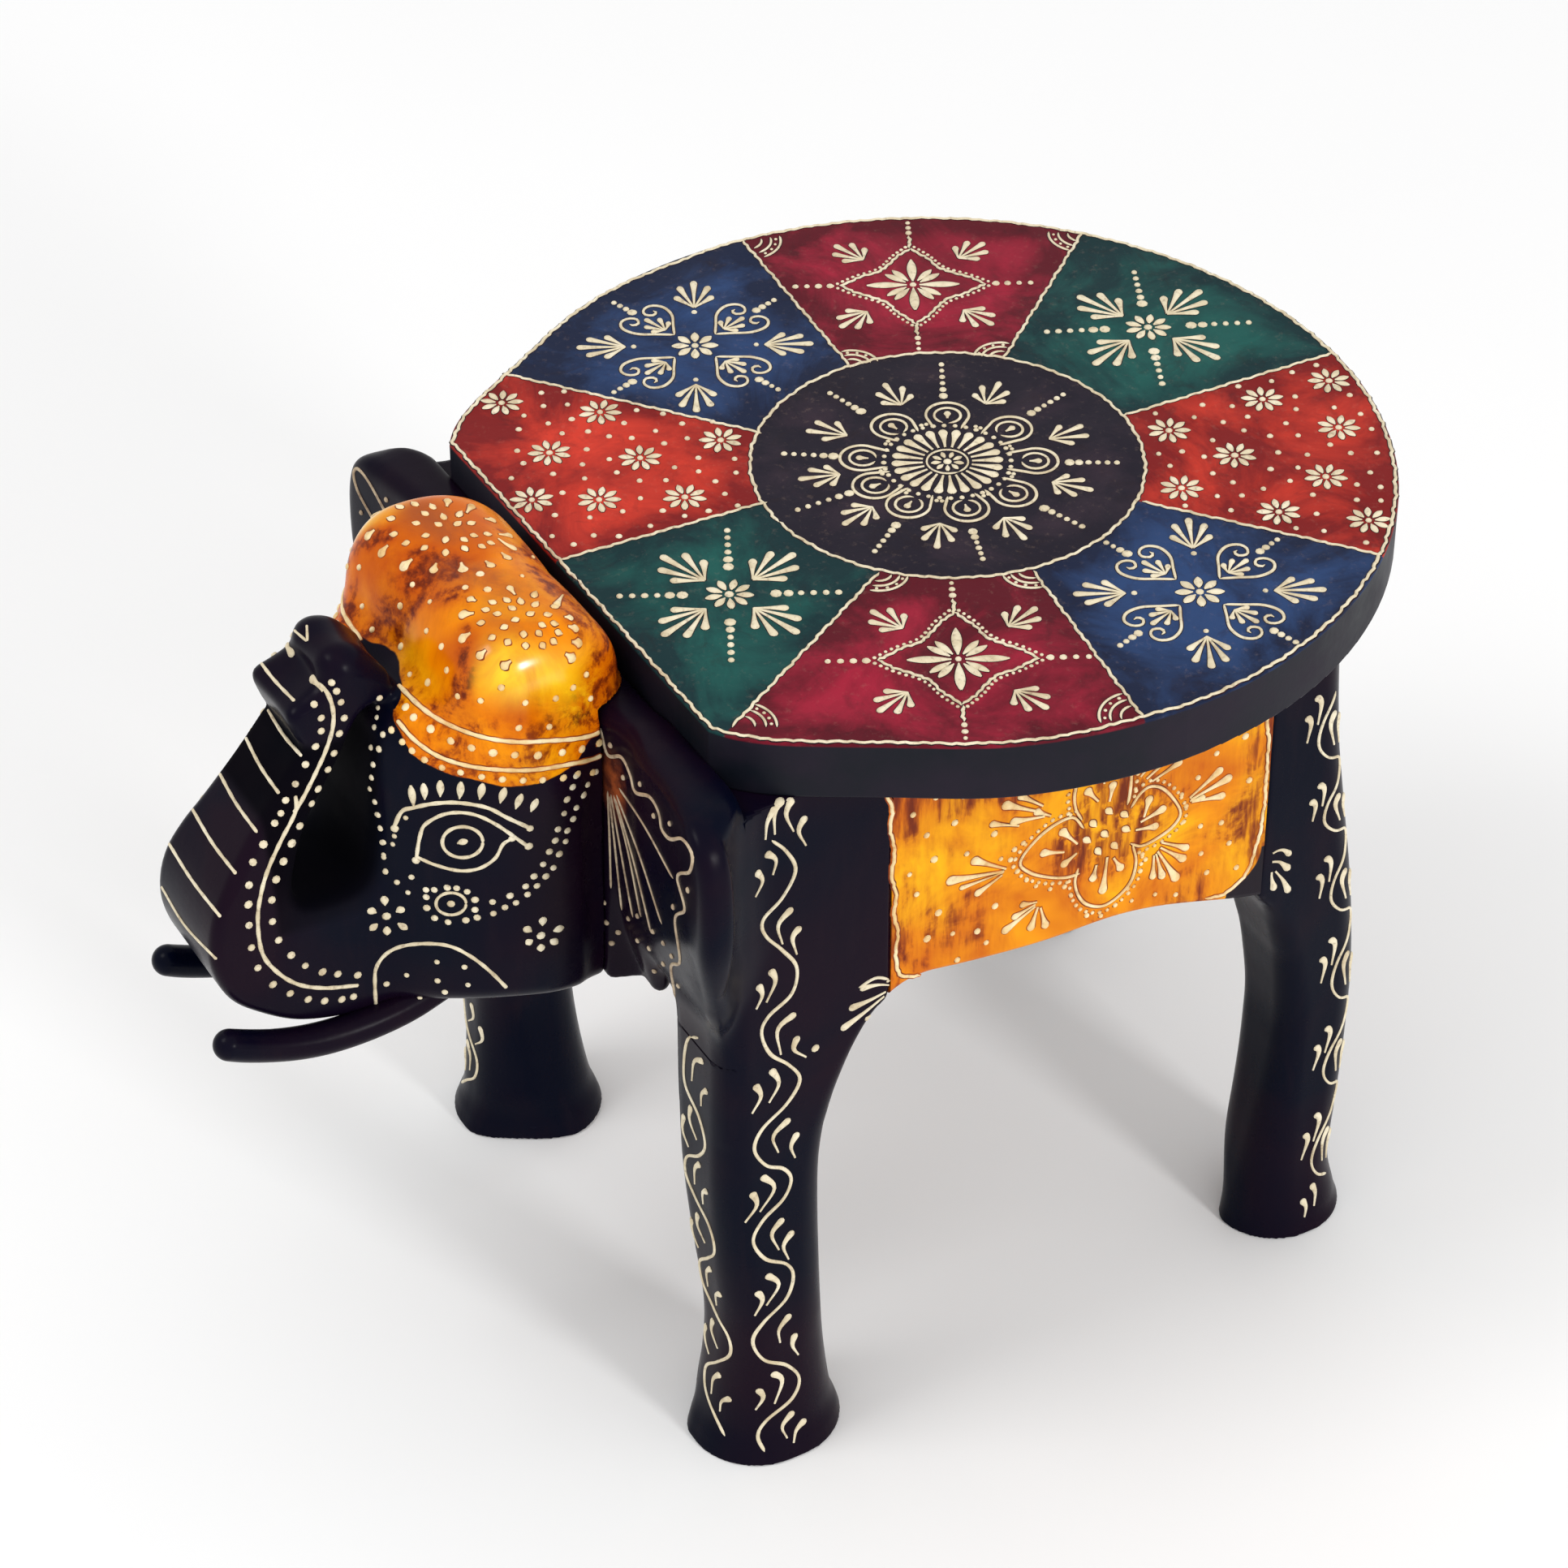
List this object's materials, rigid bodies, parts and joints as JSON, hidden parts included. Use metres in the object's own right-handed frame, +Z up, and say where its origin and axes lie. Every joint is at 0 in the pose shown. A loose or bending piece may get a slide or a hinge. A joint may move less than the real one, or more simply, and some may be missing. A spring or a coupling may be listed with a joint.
{
  "type": "carved elephant stool",
  "caption": "Low wooden stool shaped as an elephant: round seat with a straight front edge on four carved legs, flank boards, ear board, head with raised trunk and tusks.",
  "frame": {"origin": "middle of the bounding box on the floor, under the stool", "axes": "+Z up; the elephant faces -Y; +X is the elephant's left side"},
  "size_m": [0.254, 0.3602, 0.272],
  "materials": {
    "painted_seat": "satin lacquer, eight painted sectors round a dark medallion",
    "black_lacquer": "satin purple-black lacquer",
    "orange_lacquer": "mottled golden orange with brown patina",
    "bare_wood": "bare hardwood",
    "screw_steel": "plain steel screw"
  },
  "bodies": {
    "root": {"seat_board": "painted_seat", "front_left_leg": "black_lacquer", "front_right_leg": "black_lacquer", "rear_left_leg": "black_lacquer", "rear_right_leg": "black_lacquer", "left_flank_board": "orange_lacquer", "right_flank_board": "orange_lacquer", "front_board": "black_lacquer", "rump_board": "orange_lacquer", "head": "black_lacquer", "left_tusk": "black_lacquer", "right_tusk": "black_lacquer", "flank_dowels": "bare_wood", "rump_dowels": "bare_wood", "front_board_dowels": "bare_wood", "head_screws": "screw_steel", "seat_screws": "screw_steel", "seat_plugs": "painted_seat"}
  },
  "joints": []
}
